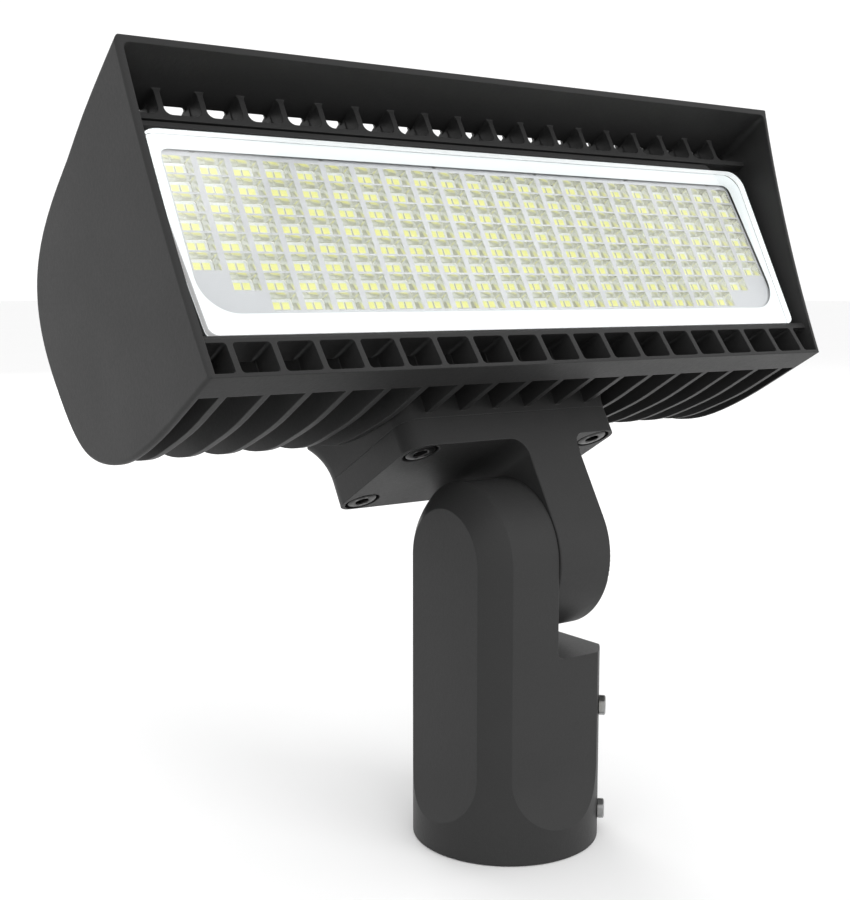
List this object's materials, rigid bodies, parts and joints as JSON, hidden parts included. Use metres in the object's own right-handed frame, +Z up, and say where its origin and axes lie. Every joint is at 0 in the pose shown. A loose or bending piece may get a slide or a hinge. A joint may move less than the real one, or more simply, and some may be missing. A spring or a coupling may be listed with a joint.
{
  "type": "led flood light",
  "caption": "Finned LED flood light head with a hooded glass front, tilting on a knuckle whose slipfitter clamps over a round pole tenon.",
  "frame": {"origin": "on the axis of the slipfitter's bore, at its bottom mouth", "axes": "+Z up along the bore's axis, X along the pivot bolt and the head's width, the light faces -Y"},
  "size_m": [0.3432, 0.1439, 0.3276],
  "materials": {
    "housing_coat": "charcoal powder coat, satin, fine texture",
    "knuckle_coat": "charcoal powder coat, satin, fine texture",
    "clear_glass": "clear tempered pane, ground edge",
    "white_enamel": "gloss white print behind glass",
    "black_silicone": "matt",
    "metallised_tray": "vacuum metallised plastic, satin",
    "board_white": "white solder mask",
    "phosphor": "pale yellow phosphor under silicone",
    "thermal_silicone": "grey sheet",
    "stainless": "plain stainless steel",
    "driver_case": "potted case",
    "zinc_sheet": "zinc plated sheet",
    "terminal_plastic": "moulded",
    "black_steel": "black zinc",
    "zinc_steel": "zinc plated",
    "insert_brass": "turned",
    "friction_plastic": "fibre disc"
  },
  "bodies": {
    "base": {"slipfitter_body": "knuckle_coat", "tenon_clamp_screws": "zinc_steel", "pivot_bolt": "zinc_steel", "pivot_washer": "zinc_steel", "pivot_spring_washer": "zinc_steel", "thread_insert": "insert_brass", "friction_washer": "friction_plastic", "knuckle_seal": "black_silicone"},
    "head": {"housing": "housing_coat", "glass_lens": "clear_glass", "glass_enamel_border": "white_enamel", "glass_gasket": "black_silicone", "glass_retaining_strip": "housing_coat", "reflector_grid": "metallised_tray", "led_board": "board_white", "led_packages": "phosphor", "thermal_pad": "thermal_silicone", "board_screws": "stainless", "led_driver": "driver_case", "driver_bracket": "zinc_sheet", "driver_screws": "stainless", "bracket_screws": "stainless", "terminal_block": "terminal_plastic", "pad_gasket": "black_silicone", "tilt_arm": "knuckle_coat", "plate_bolts": "black_steel", "plate_bolt_washers": "stainless"}
  },
  "joints": [
    {"name": "head_tilt", "type": "hinge", "parent": "base", "child": "head", "pos_m": [0, 0, 0.1246], "axis": [1, 0, 0], "range_deg": [-60, 120]}
  ]
}
